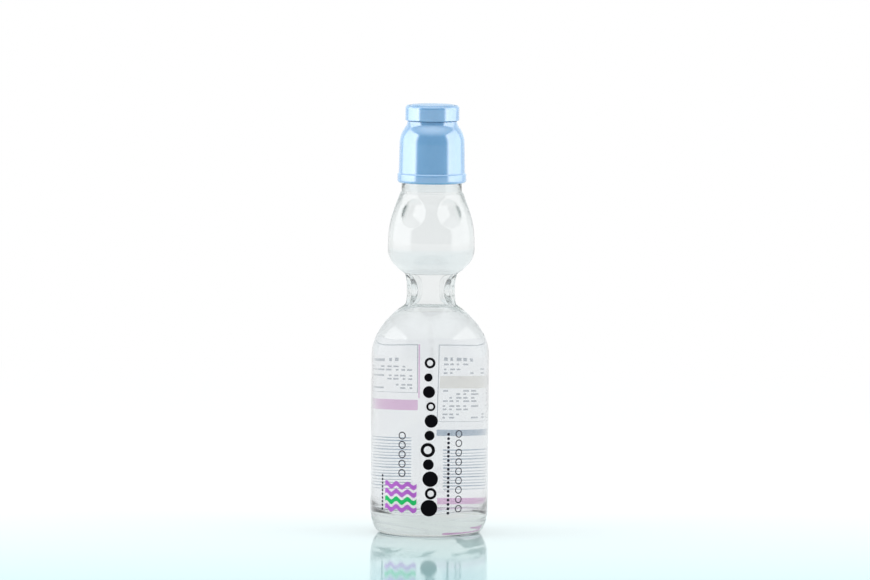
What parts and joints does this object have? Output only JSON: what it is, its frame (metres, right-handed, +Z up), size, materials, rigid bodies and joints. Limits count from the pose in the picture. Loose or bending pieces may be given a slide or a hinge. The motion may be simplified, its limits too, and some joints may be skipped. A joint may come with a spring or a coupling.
{
  "type": "marble soda bottle",
  "caption": "Pinched-neck glass soda bottle sealed by a marble under a screw-on mouth cap, with a break-off ring and pusher that knock the marble down into the neck chamber.",
  "frame": {"origin": "centre of the base, on the surface that the bottle stands on", "axes": "+Z up along the bottle's axis, -Y to the front with the two dimples, +X to the right pinch"},
  "size_m": [0.057, 0.057, 0.2063],
  "materials": {
    "clear_glass": "clear moulded soda-lime glass",
    "clear_film": "clear printed shrink film",
    "blue_plastic": "glossy moulded polyethylene, pale blue",
    "white_rubber": "soft matt rubber",
    "marble_glass": "polished clear glass ball"
  },
  "bodies": {
    "bottle": {"glass_bottle": "clear_glass", "label_sleeve": "clear_film"},
    "gasket": {"marble_gasket": "white_rubber"},
    "cap": {"mouth_cap": "blue_plastic"},
    "ring": {"pusher_ring": "blue_plastic"},
    "pusher": {"pusher": "blue_plastic"},
    "marble": {"marble": "marble_glass"}
  },
  "joints": [
    {"name": "cap_lift", "type": "slide", "parent": "bottle", "child": "gasket", "axis": [0, 0, 1], "range_m": [0, 0.00601]},
    {"name": "cap_turn", "type": "hinge", "parent": "gasket", "child": "cap", "pos_m": [0, 0, 0.18], "axis": [0, 0, 1], "range_deg": [0, 540]},
    {"name": "ring_lift", "type": "slide", "parent": "cap", "child": "ring", "axis": [0, 0, 1], "range_m": [0, 0.025]},
    {"name": "pusher_press", "type": "slide", "parent": "ring", "child": "pusher", "axis": [0, 0, -1], "range_m": [0, 0.0038]},
    {"name": "marble_drop", "type": "slide", "parent": "bottle", "child": "marble", "axis": [0, 0, -1], "range_m": [0, 0.0551]}
  ],
  "couplings": [
    {"joint": "cap_lift", "follows": "cap_turn", "m_per_rad": 0.00063662},
    {"joint": "pusher_press", "follows": "marble_drop", "ratio": 0.065}
  ]
}
